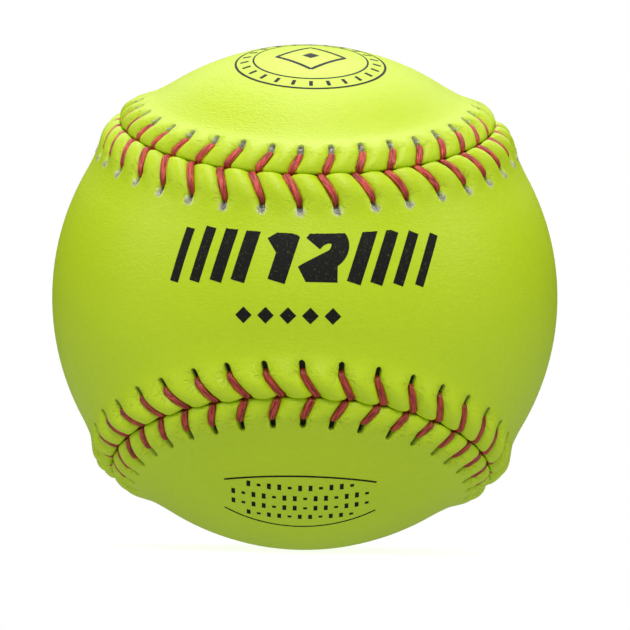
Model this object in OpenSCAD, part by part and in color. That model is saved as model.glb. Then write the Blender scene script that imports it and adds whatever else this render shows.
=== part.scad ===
// Softball with a raised herringbone seam: two dog-bone panels of synthetic leather are sewn
// edge to edge, by two threads that cross at every stitch, over a wound and cemented core.
// The origin is the centre of the ball, +Z is up, and the waist of the front panel faces -Y.
// Along the seam, places are counted in stitches, in the direction in which the V of each stitch
// points. Across it they are millimetres from the seam line, positive towards the front panel.

/* [Core] */
// Diameter of the cork and rubber centre
core_d = 44; // [36:1:60]
// Thickness of the skin of rubber cement on the winding
coat_thick = 0.5; // [0.3:0.1:1]
// Room between one layer of the ball and the next
layer_gap = 0.3; // [0.25:0.05:0.5]

/* [Cover] */
// Length of a tape round the plain cover, clear of the seam
ball_girth = 304.8; // [295:0.1:315]
// Thickness of the cover material
cover_thick = 1.6; // [1.4:0.1:2]
// How much the lobes of a panel swell against its waist
lobe_share = 0.492; // [0.47:0.002:0.52]
// How far the seam swings from front to back
swing_share = 0.822; // [0.8:0.002:0.9]

/* [Seam ridge] */
// Height of the ridge's crest above the plain cover
ridge_h = 2.3; // [1.8:0.1:2.6]
// Distance from the seam line to the crest
crest_v = 1.3; // [1.2:0.1:1.8]
// Distance from the seam line to the foot of the ridge
foot_v = 12; // [11:0.1:13]
// How far the rounded edge drops from the crest to the seam line
lip_drop = 0.5; // [0.3:0.1:0.8]
// Gap between the two panels at the seam line
seam_gap = 0.25; // [0.2:0.05:0.4]
// Height of the hollow under the ridge, at the seam line
hollow_h = 1.8; // [1.6:0.1:1.9]

/* [Stitches] */
// Number of stitches in the whole seam
stitch_count = 88; // [80:8:96]
// Place of the first stitch along the seam, as a share of one stitch
first_stitch_share = 0.488; // [0:0.002:0.9]
// Distance from the seam line to the near end of a thread hole in the front panel
front_slit_start = 4.7; // [4.4:0.1:5.2]
// Distance from the seam line to the near end of a thread hole in the back panel
back_slit_start = 3.5; // [3.3:0.1:4.2]
// Length of a thread hole, which the thread has pulled out to a slit
slit_len = 2.5; // [2:0.1:2.8]
// Width of a thread hole
slit_w = 1.15; // [1.1:0.05:1.4]
// How far the holes lie behind the point of their V
hole_back = 2.4; // [2:0.1:3]
// How far the back panel's half of a V meets the seam behind the front panel's half
half_step = 0.9; // [0.85:0.05:1.3]
// How deep a thread sinks the leather at the crest
groove_depth = 1.15; // [0.6:0.05:1.2]
// How far before its hole a thread's groove starts to run out
groove_fade = 1.6; // [1:0.1:2]
// How far a thread pulls the edge of a panel back at the seam line
notch_depth = 0.7; // [0.65:0.05:0.9]

/* [Thread] */
// Width of the waxed thread where it lies flat over the crest
thread_w = 1.45; // [0.9:0.05:1.5]
// Thickness of the thread, and its width in the holes and under the cover
thread_t = 0.74; // [0.6:0.02:0.8]
// Room between a thread and the leather or the core that it lies on
thread_gap = 0.04; // [0.03:0.01:0.08]

/* [Hidden] */

cover_colour = [0.75, 0.84, 0.17];
thread_colour = [0.78, 0.13, 0.16];
cork_colour = [0.5, 0.35, 0.22];
yarn_colour = [0.88, 0.86, 0.8];
coat_colour = [0.9, 0.82, 0.6];

// Radii of the layers, from the cover inwards
skin_r = ball_girth / (2 * PI);
under_r = skin_r - cover_thick;
coat_r = under_r - layer_gap;
winding_r = coat_r - coat_thick;
core_r = core_d / 2;

// The columns of a panel's border: both sides of a thread's groove, and the middle of a pillow
GROOVE_NEAR = 0;
GROOVE_FAR = 1;
PILLOW = 2;
COLUMNS = 3;

// Sides of a panel, as the sign of its distance from the seam line
FRONT = 1;
BACK = -1;

// Along a panel's spine, the lobes' middles lie this far round the ball from its waist
lobe_angle = 115;
// Rows between the ridge's foot and the spine, as shares of the way
outer_row_shares = [0.2, 0.4, 0.6, 0.8];
under_row_shares = [0.25, 0.5, 0.75];
// Where the free ends of a thread stop in their last hidden run, as shares of that run
thread_end_shares = [0.6, 0.4];
thread_sides = 6;
seam_samples = 720;

function unit(v) = v / norm(v);
function wrap(k, n) = (k % n + n) % n;
function swell(a) = (1 + cos(180 * min(1, max(0, a)))) / 2;

// The seam is a closed wave on the ball, which the angle a draws once round
function seam_wave(a) =
    let (x = cos(a) + lobe_share * cos(3 * a),
         y = lobe_share * sin(3 * a) - sin(a),
         z = 2 * swing_share * sqrt(lobe_share) * sin(2 * a))
    unit([(y - x) / sqrt(2), z, (x + y) / sqrt(2)]);

// Length of the seam on a ball of radius 1, up to each sample, against its angle
seam_chords = [for (k = [1 : seam_samples])
    norm(seam_wave(360 * k / seam_samples) - seam_wave(360 * (k - 1) / seam_samples))];
seam_runs = [for (k = 0, run = 0; k <= seam_samples;
    run = run + (k < seam_samples ? seam_chords[k] : 0), k = k + 1) [run, 360 * k / seam_samples]];
seam_len_share = seam_runs[seam_samples][0];
stitch_pitch = seam_len_share * skin_r / stitch_count;

// Three directions at a place on the seam: out of the ball, along the seam, to the front panel
function seam_frame(u) =
    let (a = lookup(wrap(u, stitch_count) * seam_len_share / stitch_count, seam_runs),
         out = seam_wave(a),
         along = unit(seam_wave(a + 1) - seam_wave(a - 1)))
    [out, along, cross(out, along)];

// The point u stitches along the seam, v across it, and r from the centre of the ball
function seam_point(u, v, r) =
    let (f = seam_frame(u), turn = v / skin_r * 180 / PI)
    r * (f[0] * cos(turn) + f[2] * sin(turn));

// Where a thread hole starts and ends, by the side of the panel that it is in
function slit_start(side) = side == FRONT ? front_slit_start : back_slit_start;
function slit_end(side) = slit_start(side) + slit_len;

// Height of the ridge above the plain cover, depth of a groove in it, and the hollow under it
function ridge(v) = v < crest_v ? ridge_h - lip_drop * pow(1 - v / crest_v, 2)
    : ridge_h * swell((v - crest_v) / (foot_v - crest_v));
function groove(side, v) =
    groove_depth * swell((v - slit_start(side) + groove_fade) / (slit_len + groove_fade));
function hollow(v) = hollow_h * swell(v / foot_v);

// Distance of a panel's edge from the seam line, at a pillow and at a groove
edge_v = seam_gap / 2;
notch_v = edge_v + notch_depth;

// Where the middle of a stitch's groove lies along the seam, v away from the seam line
function groove_place(side, i, v) =
    let (tip = side == FRONT ? 0 : -half_step,
         way = min(1, max(0, (v - notch_v) / (slit_start(side) - notch_v))))
    i + first_stitch_share + (tip + (-hole_back - tip) * way) / stitch_pitch;
function column_place(side, i, column, v) = groove_place(side, i, v)
    + (column == PILLOW ? 1 / 2 : (column == GROOVE_NEAR ? -slit_w : slit_w) / (2 * stitch_pitch));

// Border rows of the outer face, from the panel's lower edge to the far ends of the holes. Each
// is [distance at a pillow, distance at a groove, true on the outer face]
shoulder_v = (edge_v + crest_v) / 2;
function border_rows(side) = [[edge_v, notch_v, false], [edge_v, notch_v, true],
    [shoulder_v, (notch_v + crest_v) / 2, true], [crest_v, crest_v, true],
    [slit_start(side), slit_start(side), true], [slit_end(side), slit_end(side), true]];
EDGE_ROW = 0;
HOLE_ROW = 4;
END_ROW = 5;

function border_radius(side, row, column, v) = !row[2] ? under_r + hollow(v)
    : skin_r + ridge(v) - (column == PILLOW ? 0 : groove(side, v));
function border_points(side) = [for (row = border_rows(side), i = [0 : stitch_count - 1],
        column = [0 : COLUMNS - 1])
    let (v = column == PILLOW ? row[0] : row[1])
    seam_point(column_place(side, i, column, v), side * v, border_radius(side, row, column, v))];
// Under the cover the holes' sides are the only columns
function hole_points(side) = [for (v = [slit_start(side), slit_end(side)], i = [0 : stitch_count - 1],
        column = [GROOVE_NEAR, GROOVE_FAR])
    seam_point(column_place(side, i, column, v), side * v, under_r + hollow(v))];

// The spine of a panel runs from lobe to lobe through its waist. Column i of the panel's field
// reaches the spine at the same place as its mirror image on the other side of the spine
half_count = stitch_count / 2;
function spine_start(side) = (side == FRONT ? 1 : 3) * stitch_count / 8;
function spine_index(side, i) =
    let (k = wrap(i - spine_start(side), stitch_count)) k <= half_count ? k : stitch_count - k;
function spine_point(side, k) =
    let (turn = lobe_angle * cos(180 * k / half_count),
         waist = side * [0, -1, 0],
         lobe = side == FRONT ? [-1, 0, 0] : [0, 0, -1])
    waist * cos(turn) + lobe * sin(turn);

// The field of a panel, from the foot of the ridge to the spine, in rows of one point a stitch
function between(a, b, share) =
    let (angle = acos(a * b)) (a * sin(angle * (1 - share)) + b * sin(angle * share)) / sin(angle);
function field_points(side, r, shares) = [for (share = concat([0], shares),
        i = [0 : stitch_count - 1])
    let (foot = seam_point(groove_place(side, i, foot_v), side * foot_v, 1),
         spine = spine_point(side, spine_index(side, i)))
    r * between(foot, spine, share)];
function spine_points(side, r) = [for (k = [0 : half_count]) r * spine_point(side, k)];

// Triangles of a patch whose corners run round it, seen from outside the ball
function patch(corners) = [for (k = [1 : len(corners) - 2]) [corners[0], corners[k], corners[k + 1]]];
function flipped(faces) = [for (face = faces) [face[2], face[1], face[0]]];
function flat_list(lists) = [for (list = lists) each list];

// Places of the point lists in a panel's whole list
OUTER_FIELD = COLUMNS * len(border_rows(FRONT)) * stitch_count;
OUTER_SPINE = OUTER_FIELD + (1 + len(outer_row_shares)) * stitch_count;
UNDER_HOLES = OUTER_SPINE + half_count + 1;
UNDER_FIELD = UNDER_HOLES + 4 * stitch_count;
UNDER_SPINE = UNDER_FIELD + (1 + len(under_row_shares)) * stitch_count;

function border_index(row, i, column) =
    COLUMNS * (row * stitch_count + wrap(i, stitch_count)) + column;
function hole_index(end, i, column) =
    UNDER_HOLES + 2 * (end * stitch_count + wrap(i, stitch_count)) + column;
function field_index(start, row, i) = start + row * stitch_count + wrap(i, stitch_count);

// Faces of the rows from the ridge's foot to the spine
function field_faces(side, start, spine, rows) = flat_list([for (row = [0 : rows - 1],
        i = [0 : stitch_count - 1])
    patch([field_index(start, row, i), field_index(start, row, i + 1),
        row == rows - 1 ? spine + spine_index(side, i + 1) : field_index(start, row + 1, i + 1),
        row == rows - 1 ? spine + spine_index(side, i) : field_index(start, row + 1, i)])]);

// Faces of the outer side that belong to stitch i: the border but for the hole, and its fan
// into the field
function outer_faces(i) =
    let (near = GROOVE_NEAR, far = GROOVE_FAR,
         strips = [for (row = [EDGE_ROW : END_ROW - 1], column = [0 : COLUMNS - 1])
             let (next_i = column == PILLOW ? i + 1 : i, next_column = (column + 1) % COLUMNS)
             if (row != HOLE_ROW || column != near)
             patch([border_index(row, i, column), border_index(row, next_i, next_column),
                 border_index(row + 1, next_i, next_column), border_index(row + 1, i, column)])],
         foot = field_index(OUTER_FIELD, 0, i),
         fan = [[border_index(END_ROW, i - 1, PILLOW), border_index(END_ROW, i, near), foot],
             [border_index(END_ROW, i, near), border_index(END_ROW, i, far), foot],
             [border_index(END_ROW, i, far), border_index(END_ROW, i, PILLOW), foot],
             [border_index(END_ROW, i, PILLOW), field_index(OUTER_FIELD, 0, i + 1), foot]])
    concat(flat_list(strips), fan);

// Faces of the underside that belong to stitch i, as seen from outside the ball
function under_faces(i) =
    let (near = GROOVE_NEAR, far = GROOVE_FAR,
         foot = field_index(UNDER_FIELD, 0, i), next_foot = field_index(UNDER_FIELD, 0, i + 1))
    concat(
        patch([border_index(EDGE_ROW, i, near), border_index(EDGE_ROW, i, far),
            hole_index(0, i, far), hole_index(0, i, near)]),
        patch([border_index(EDGE_ROW, i, PILLOW), border_index(EDGE_ROW, i + 1, near),
            hole_index(0, i + 1, near), hole_index(0, i, far), border_index(EDGE_ROW, i, far)]),
        patch([hole_index(0, i, far), hole_index(0, i + 1, near),
            hole_index(1, i + 1, near), hole_index(1, i, far)]),
        [[hole_index(1, i, near), hole_index(1, i, far), foot]],
        patch([hole_index(1, i, far), hole_index(1, i + 1, near), next_foot, foot]));

// The four walls of the hole of stitch i
function hole_faces(i) =
    let (corners = [[0, GROOVE_NEAR], [0, GROOVE_FAR], [1, GROOVE_FAR], [1, GROOVE_NEAR]])
    flat_list([for (k = [0 : 3])
        let (a = corners[k], b = corners[(k + 1) % 4])
        patch([border_index(HOLE_ROW + a[0], i, a[1]), border_index(HOLE_ROW + b[0], i, b[1]),
            hole_index(b[0], i, b[1]), hole_index(a[0], i, a[1])])]);

module cover_panel(side) {
    points = concat(border_points(side), field_points(side, skin_r, outer_row_shares),
        spine_points(side, skin_r), hole_points(side),
        field_points(side, under_r, under_row_shares), spine_points(side, under_r));
    each_stitch = [0 : stitch_count - 1];
    outer = concat(flat_list([for (i = each_stitch) outer_faces(i)]),
        field_faces(side, OUTER_FIELD, OUTER_SPINE, 1 + len(outer_row_shares)));
    under = concat(flat_list([for (i = each_stitch) under_faces(i)]),
        field_faces(side, UNDER_FIELD, UNDER_SPINE, 1 + len(under_row_shares)));
    holes = flat_list([for (i = each_stitch) hole_faces(i)]);
    faces = concat(outer, flipped(under), holes);
    color(cover_colour) polyhedron(points, side == FRONT ? flipped(faces) : faces, convexity = 10);
}

// Route of a thread's middle through one stitch: up through the hole, over the crest, round the
// lip and down between the panels. Each point is [distance from the seam line, radius, width]
thread_half = thread_t / 2;
lie_h = thread_half + thread_gap;
dive_v = notch_v - thread_half - thread_gap;
function thread_stops(side) =
    let (start = slit_start(side), rise_v = start + thread_half + thread_gap)
    [[rise_v, coat_r + lie_h, thread_t],
     [rise_v, skin_r + ridge(start) - groove(side, start) + lie_h, thread_t],
     [crest_v, skin_r + ridge(crest_v) - groove(side, crest_v) + lie_h, thread_w],
     [dive_v, skin_r + ridge(notch_v) - groove(side, notch_v) + lie_h, thread_t],
     [-dive_v / 2, coat_r + lie_h + thread_half, thread_t]];

// Each thread sews every other hole of both panels. Where one lies on the front panel, the
// other lies on the back panel
function thread_side(first, i) = (i + first) % 2 == 0 ? FRONT : BACK;
function thread_route(first) =
    let (stops = [for (i = [0 : stitch_count - 1], stop = thread_stops(thread_side(first, i)))
             let (side = thread_side(first, i), u = groove_place(side, i, stop[0]))
             [seam_point(u, side * stop[0], stop[1]), seam_frame(u)[1], stop[2]]],
         last = stops[len(stops) - 1],
         ends = [for (share = thread_end_shares)
             [last[0] * (1 - share) + stops[0][0] * share, stops[0][1], thread_t]])
    concat([ends[0]], stops, [ends[1]]);

// Points round the thread at each place of its route, on flattened hexagons
function thread_rings(route) = [for (k = [0 : len(route) - 1])
    let (here = route[k][0],
         before = k > 0 ? unit(here - route[k - 1][0]) : [0, 0, 0],
         after = k < len(route) - 1 ? unit(route[k + 1][0] - here) : [0, 0, 0],
         along = unit(before + after),
         wide = unit(route[k][1] - along * (route[k][1] * along)),
         thick = cross(along, wide))
    for (s = [0 : thread_sides - 1])
    let (a = 360 * (s + 1 / 2) / thread_sides)
    here + wide * (route[k][2] / 2 * cos(a)) + thick * (thread_half * sin(a))];

module stitch_thread(first) {
    route = thread_route(first);
    rings = len(route);
    sides = thread_sides;
    skin = [for (k = [0 : rings - 2], s = [0 : sides - 1])
        let (t = (s + 1) % sides)
        each patch([k * sides + s, (k + 1) * sides + s, (k + 1) * sides + t, k * sides + t])];
    caps = concat(patch([for (s = [0 : sides - 1]) s]),
        patch([for (s = [sides - 1 : -1 : 0]) (rings - 1) * sides + s]));
    color(thread_colour) polyhedron(thread_rings(route), concat(skin, caps), convexity = 10);
}

module cork_core() {
    color(cork_colour) sphere(core_r, $fn = 64);
}

module hollow_ball(outer_r, inner_r) {
    difference() {
        sphere(outer_r, $fn = 96);
        sphere(inner_r, $fn = 96);
    }
}

module yarn_winding() {
    color(yarn_colour) hollow_ball(winding_r, core_r);
}

module latex_coat() {
    color(coat_colour) hollow_ball(coat_r, winding_r);
}

module cover_panel_front() {
    cover_panel(FRONT);
}

module cover_panel_back() {
    cover_panel(BACK);
}

module thread_leading() {
    stitch_thread(0);
}

module thread_following() {
    stitch_thread(1);
}

cork_core();
yarn_winding();
latex_coat();
cover_panel_front();
cover_panel_back();
thread_leading();
thread_following();
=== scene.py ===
# %% [markdown]
# # A softball with a raised herringbone seam
# The ball is built in the order in which a ball maker works: first the line of the seam, then
# the two dog-bone panels of the cover, then the two threads that join them, then the torn
# lining at the holes and the ink.
# The core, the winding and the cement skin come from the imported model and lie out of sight.

import math

import bpy
import numpy as np
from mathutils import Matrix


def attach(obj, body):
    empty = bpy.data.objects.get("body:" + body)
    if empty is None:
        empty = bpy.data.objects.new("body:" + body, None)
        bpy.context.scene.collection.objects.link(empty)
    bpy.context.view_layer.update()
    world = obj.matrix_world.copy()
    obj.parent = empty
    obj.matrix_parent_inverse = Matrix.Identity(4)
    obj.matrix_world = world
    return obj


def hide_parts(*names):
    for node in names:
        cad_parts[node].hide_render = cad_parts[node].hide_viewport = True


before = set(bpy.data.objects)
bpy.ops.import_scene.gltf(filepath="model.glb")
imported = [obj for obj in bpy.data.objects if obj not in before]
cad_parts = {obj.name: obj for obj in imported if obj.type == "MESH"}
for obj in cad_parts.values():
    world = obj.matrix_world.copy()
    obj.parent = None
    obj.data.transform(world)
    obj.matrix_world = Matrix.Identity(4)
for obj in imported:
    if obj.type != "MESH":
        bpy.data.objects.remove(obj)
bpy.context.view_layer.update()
MM = 0.001
print("packed nodes:", ", ".join(sorted(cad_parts)))

# %% [markdown]
# ## Sizes
# Everything follows from the girth of the plain cover. The seam ridge, the grooves that the
# threads press into it and the pulled-out thread holes have sizes of their own, in millimetres.
# Places along the seam are counted in stitches, and places across it in millimetres.

# %% Sizes of the cover and the seam
# The plain ball
girth = 304.8
skin_r = girth / (2 * math.pi)
cover_thick = 1.6
under_r = skin_r - cover_thick
coat_thick = 0.3
coat_r = under_r - coat_thick

# The seam line
stitches = 88
first_stitch = 0.488
lobe_share = 0.492
swing_share = 0.822

# The ridge, and how far its crest, its roll and its swelling reach from the seam line
ridge_h = 2.1
roll_share = 0.52
crest_v = 2.6
roll_v = 8.4
foot_v = 12.0

# The edge that a panel turns to the other panel, and the groove that each thread presses
lip_drop = 1.2
lip_dip = 0.65
seam_gap = 0.08
notch_depth = 0.3
low_puff = 0.22
groove_depth = 1.25
groove_half = 0.64
groove_lead = 0.7
groove_tail = 0.8
straight_v = 0.8
bend_power = 0.85

# The thread holes, and the hollow that the panel has under its border
hole_back = 2.2
half_step = 0.85
slit_end_front = 7.2
slit_end_back = 6.0
punch_shift = 0.34
slit_long = 2.5
slit_half = 0.56
slit_depth = 1.45
frayed_depth = 0.8
hole_floor_h = -0.55
hollow_h = 1.8
hollow_edge_h = 0.9
hollow_v = 5.0

# How much one stitch differs from the next
variation = np.random.default_rng(12)
stitch_shift = variation.normal(0, 0.16, (2, stitches))
slit_shift = variation.normal(0, 0.14, (2, stitches))
puff_change = variation.normal(0, 0.05, (2, stitches))
print(f"plain radius {skin_r:.2f} mm, crest {skin_r + ridge_h:.2f} mm, {stitches} stitches")

# %% [markdown]
# ## The seam line
# A ball's seam is a closed wave that swings four times between front and back. Three harmonics
# describe it: a circle, a wave three times as fast, and a vertical wave twice as fast. Laying it
# on the sphere by dividing each point by its length is simpler than solving a real pattern, and
# its waist and lobes can be set to match a ball. Stitches are spaced evenly along its length.

# %% The seam line and its own coordinates
wave_points = 7201
tiny_turn = 0.001
tiny_step = 0.01


def seam_wave(angle):
    """The seam's direction from the centre of the ball, for angles in radians."""
    x = np.cos(angle) + lobe_share * np.cos(3 * angle)
    y = lobe_share * np.sin(3 * angle) - np.sin(angle)
    z = 2 * swing_share * math.sqrt(lobe_share) * np.sin(2 * angle)
    points = np.stack([(y - x) / math.sqrt(2), z, (x + y) / math.sqrt(2)], -1)
    return points / np.linalg.norm(points, axis=-1, keepdims=True)


seam_angles = np.linspace(0, 2 * math.pi, wave_points)
seam_chords = np.linalg.norm(np.diff(seam_wave(seam_angles), axis=0), axis=1)
seam_lengths = np.concatenate([[0], np.cumsum(seam_chords)])
pitch = seam_lengths[-1] * skin_r / stitches
print(f"seam {seam_lengths[-1] * skin_r:.1f} mm long, one stitch every {pitch:.2f} mm")


def seam_frame(place):
    """Out of the ball, along the seam and to the front panel, at places in stitches."""
    lengths = np.mod(place, stitches) / stitches * seam_lengths[-1]
    angle = np.interp(lengths, seam_lengths, seam_angles)
    out = seam_wave(angle)
    along = seam_wave(angle + tiny_turn) - seam_wave(angle - tiny_turn)
    along = along / np.linalg.norm(along, axis=-1, keepdims=True)
    return out, along, np.cross(out, along)


def seam_point(place, across, radius):
    """The point that lies so many stitches along and millimetres across the seam line."""
    out, _, front = seam_frame(place)
    turn = (across / skin_r)[..., None]
    return radius[..., None] * (out * np.cos(turn) + front * np.sin(turn))


def stitch_width(place, across):
    """How long one stitch is, measured beside the seam line instead of on it."""
    radius = np.full(np.shape(place), skin_r)
    ahead = seam_point(place + tiny_step, across, radius)
    behind = seam_point(place - tiny_step, across, radius)
    return np.linalg.norm(ahead - behind, axis=-1) / (2 * tiny_step)


# %% [markdown]
# ## The shape of the sewn border
# The seam stands up as a ridge, because both panels are turned up against each other. Each side
# is a narrow roll on a low and broad swelling. Where a thread pulls the leather down, the roll
# is pinched into a row of pillows. A wave would be the easy outline for them, but a real pillow
# is steep at its sides and round on top, so a rounded bulge is used. The same bulge draws the
# edge of the panel back wherever a thread dives.

# %% Heights of the border
bulge_power = 0.7


def swell(share):
    """Falls smoothly from 1 to 0 while share goes from 0 to 1."""
    return (1 + np.cos(math.pi * np.clip(share, 0, 1))) / 2


def ridge(v):
    """A narrow roll, which ends behind the holes, on a broad and low swelling."""
    roll = swell((v - crest_v) / (roll_v - crest_v))
    broad = swell((v - crest_v) / (foot_v - crest_v))
    return ridge_h * (roll_share * roll + (1 - roll_share) * broad)


def groove(v, start, end):
    """The groove is deep on the crest and has run out where the hole ends."""
    length = end - start + groove_lead + groove_tail
    return groove_depth * swell((v - start + groove_lead) / length)


def bulge(q):
    """A pillow's outline: 0 in the groove's corner, 1 on the middle of the pillow."""
    return (1 - (1 - np.clip(q, 0, 1)) ** 2) ** bulge_power


print(f"ridge {ridge(crest_v):.2f} mm high at its crest, {ridge(roll_v):.2f} mm behind the holes")

# %% [markdown]
# ### Where the holes and grooves are
# The holes stand in two rows, one on each panel, and the threads lie between them as the arms of
# a V. Evenly spaced holes would look printed, so each is off its place by a small seeded amount.

# %% Places of the holes and the grooves
torn_and_lit_blend = 16.0
overrun_share = 0.12
overrun_long = 3.0
punched_furthest = 77


def slit_ends(side, i):
    """Where stitch i's hole starts and ends, in millimetres from the seam line."""
    row = 0 if side > 0 else 1
    i = np.mod(i, stitches)
    end = slit_end_front if side > 0 else slit_end_back
    if side > 0:
        # The front panel was punched a little further out on the side of the top lobe
        end = end + punch_shift * np.cos(2 * math.pi * (i - punched_furthest) / stitches)
    end = end + slit_shift[row, i]
    return end - slit_long, end


def torn_and_lit_share(i):
    """1 on the upper half, where holes are ripped and painted as lit, and 0 on the lower, painted
    as in shade.
    """
    out, _, _ = seam_frame(i * 1.0)
    return np.clip(0.5 + out[..., 2] * skin_r / torn_and_lit_blend, 0, 1)


def groove_place(side, i, v):
    """Where stitch i's groove lies along the seam. It bends towards the point of the V."""
    row = 0 if side > 0 else 1
    tip = 0.0 if side > 0 else -half_step
    hole = -hole_back + stitch_shift[row, np.mod(i, stitches)]
    start, _ = slit_ends(side, i)
    way = np.clip((v - straight_v) / (start - straight_v), 0, 1) ** bend_power
    # Behind the thread the hole goes on a little in the same direction
    way = way + overrun_share * np.clip((v - start) / overrun_long, 0, 1)
    return i + first_stitch + (tip + (hole - tip) * way) / pitch


for side, label in ((1, "front"), (-1, "back")):
    hole_start, hole_end = slit_ends(side, np.arange(stitches))
    print(f"{label} holes: {hole_start.mean():.2f} to {hole_end.mean():.2f} mm from the seam")

# %% [markdown]
# ## The cover panels
# Each cover panel is a dog bone of leather. It could be a cut-out of a sphere with the holes
# taken away by a Boolean, but that leaves ragged edges just where the eye looks. Here each
# panel is one closed mesh of rows along the seam. The border's columns follow the grooves, so
# that the edges of the holes are crisp, and its marks tell the finish where the holes are.

# %% Columns and rows of the border
groove_columns = [-1.0, -0.88, -0.6, -0.3, 0.0, 0.3, 0.6, 0.88, 1.0]
pillow_columns = [0.04, 0.1, 0.19, 0.31, 0.47, 0.7, 1.0]
columns = [(share, 0.0) for share in groove_columns]
columns += [(1.0, share) for share in pillow_columns]
columns += [(-1.0, -share) for share in reversed(pillow_columns[:-1])]
groove_share, pillow_share = np.array(columns).T
# How far each column is from its groove's edge to the middle of the pillow
pillow_way = np.abs(pillow_share)[None, :] * np.ones((stitches, 1))
# The far half of a pillow is measured from the next stitch's groove
column_stitch = np.arange(stitches)[:, None] + (pillow_share < 0)[None, :]

lip_turns = np.radians([0, 13, 26, 39, 52, 64, 77, 90])
# The rows in the middle are shares of the way through the hole, so that its ends stay crisp
row_shares = [0.02, 0.09, 0.17, 0.27, 0.38, 0.5, 0.61, 0.71, 0.8, 0.88, 0.94, 0.985, 1.02]
near_shares = np.linspace(0, 1, 9)[1:-1]
far_shares = [0.0, 0.06, 0.14, 0.25, 0.4, 0.6, 0.8, 1.0]
row_count = len(near_shares) + len(row_shares) + len(far_shares)
print(f"{len(columns)} columns a stitch, {len(lip_turns) + row_count} rows")

# %% Distances and heights of the rows
behind_slit = 0.14
puff_reach = 6.0


def body_rows(start, end):
    """Distances from the seam of the rows between the crest and the foot of the ridge."""
    rows = [crest_v + (start - crest_v) * share for share in near_shares]
    rows += [start + (end - start) * share for share in row_shares]
    last = rows[-1] + behind_slit
    rows += [last + (foot_v - last) * share for share in far_shares]
    return rows


def border_rows(start, end, plump, puff):
    """Distance from the seam and height over the plain ball, row by row from the lip out."""
    edge = seam_gap / 2 + notch_depth * (1 - plump)
    crest_height = ridge_h * puff - groove_depth * (1 - plump)
    low = ridge_h * puff - lip_drop - lip_dip * (1 - plump)
    rows = []
    for turn in lip_turns:
        v = edge + (crest_v - edge) * (1 - math.cos(turn))
        rows.append((v, low + (crest_height - low) * math.sin(turn)))
    for v in body_rows(start, end):
        height = ridge(v) * (1 + (puff - 1) * swell((v - crest_v) / puff_reach))
        height = height - groove(v, start, end) * (1 - plump)
        rows.append((v, height))
    return rows


# %% Outline and depth of the holes
tip_half = 0.05
behind_half = 0.35
groove_blend = 2.0
slope_long = 0.5


def slit_shape(v, start, end, deep):
    """Half the width of the groove or of the hole at its end, and how deep the hole is."""
    round_end = end - slit_half
    rounding = np.sqrt(np.clip(1 - ((v - round_end) / slit_half) ** 2, 0, 1))
    half = np.where(v <= round_end, slit_half, np.maximum(slit_half * rounding, tip_half))
    blend = np.clip((start - v) / groove_blend, 0, 1)
    half = half + (groove_half - slit_half) * blend
    # Behind the hole the columns spread again, bit by bit
    behind = tip_half + behind_half * np.clip((v - end) / overrun_long, 0, 1)
    half = np.where(v > end, behind, half)
    inside = (v > start) & (v < end)
    slope = np.clip((v - start) / slope_long, 0, 1)
    return half, np.where(inside, deep * slope, 0.0)


def column_places(side, v, half):
    """The grooves' middles and the columns' places in one row, and how wide a stitch is."""
    centre = groove_place(side, column_stitch, v)
    width = stitch_width(centre, side * v)
    edge_place = half / width
    in_groove = groove_share[None, :] * edge_place
    # The next groove isn't always one stitch away, so a pillow ends halfway to it
    ahead = groove_place(side, column_stitch + 1, v) - centre
    behind = centre - groove_place(side, column_stitch - 1, v)
    reach = np.where(pillow_share[None, :] >= 0, ahead, behind) / 2
    on_pillow = np.sign(pillow_share)[None, :] * (edge_place + (reach - edge_place) * pillow_way)
    return centre, centre + np.where(pillow_way > 0, on_pillow, in_groove), width


# %% The border of a panel
front_fray = 0.45
back_halo = 0.2
pull_start = 0.2
hole_min_depth = 0.3


def border_grid(side):
    """Places, distances and radii of the border's outer face, and the marks on it, by rows."""
    plump = bulge(pillow_way)
    # Upper half: torn holes, painted as lit. Lower half: holes and thread painted as in shade.
    torn_and_lit = torn_and_lit_share(column_stitch)
    puff = 1 + puff_change[0 if side > 0 else 1][:, None]
    if side > 0:
        # On the lower half the pillows beside the waist stand a little prouder
        puff = puff + low_puff * (1 - torn_and_lit) * plump
    start, end = slit_ends(side, column_stitch)
    fray = torn_and_lit * (1.0 if side < 0 else front_fray)
    deep = slit_depth + (frayed_depth - slit_depth) * fray
    places, across, radii, marks = [], [], [], []
    for v, height in border_rows(start, end, plump, puff):
        half, depth = slit_shape(v, start, end, deep)
        centre, place, width = column_places(side, v, half)
        on_floor = (np.abs(groove_share) < 0.95) & (pillow_way == 0)
        sunk = np.where(on_floor, depth, 0.0)
        places.append(place)
        across.append(side * v)
        # A hole's floor stays above the panel's underside
        radii.append(skin_r + np.maximum(height - sunk, hole_floor_h))
        beside = (place - centre) * width
        marks.append({
            "hole": (sunk > hole_min_depth) * 1.0,
            "stitch": column_stitch * 1.0,
            "torn_and_lit": torn_and_lit,
            "frayed_and_lit": torn_and_lit * (1.0 if side > 0 else back_halo),
            "rim": np.hypot(beside, v - end + slit_half),
            "pull_far": np.hypot(beside, v - start - pull_start),
            "pull_turn": np.arctan2(np.abs(beside), v - start - pull_start)})

    def flat(values):
        return np.array(values).reshape(len(values), -1)

    marks_by_name = {name: flat([row[name] for row in marks]) for name in marks[0]}
    return flat(places), flat(across), flat(radii), marks_by_name


# %% [markdown]
# ### The plain field of a panel
# Inside its border a panel is a plain piece of the sphere, which needs few faces. Its columns
# run on from the border to the panel's spine, a line from lobe to lobe through the waist. A fan
# of columns to one midpoint would be simpler, but it would crowd the faces of a long panel.

# %% The spine and the field
field_shares = np.linspace(0, 1, 15)[1:-1]
field_step = 4
spine_reach = math.radians(115)


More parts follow.
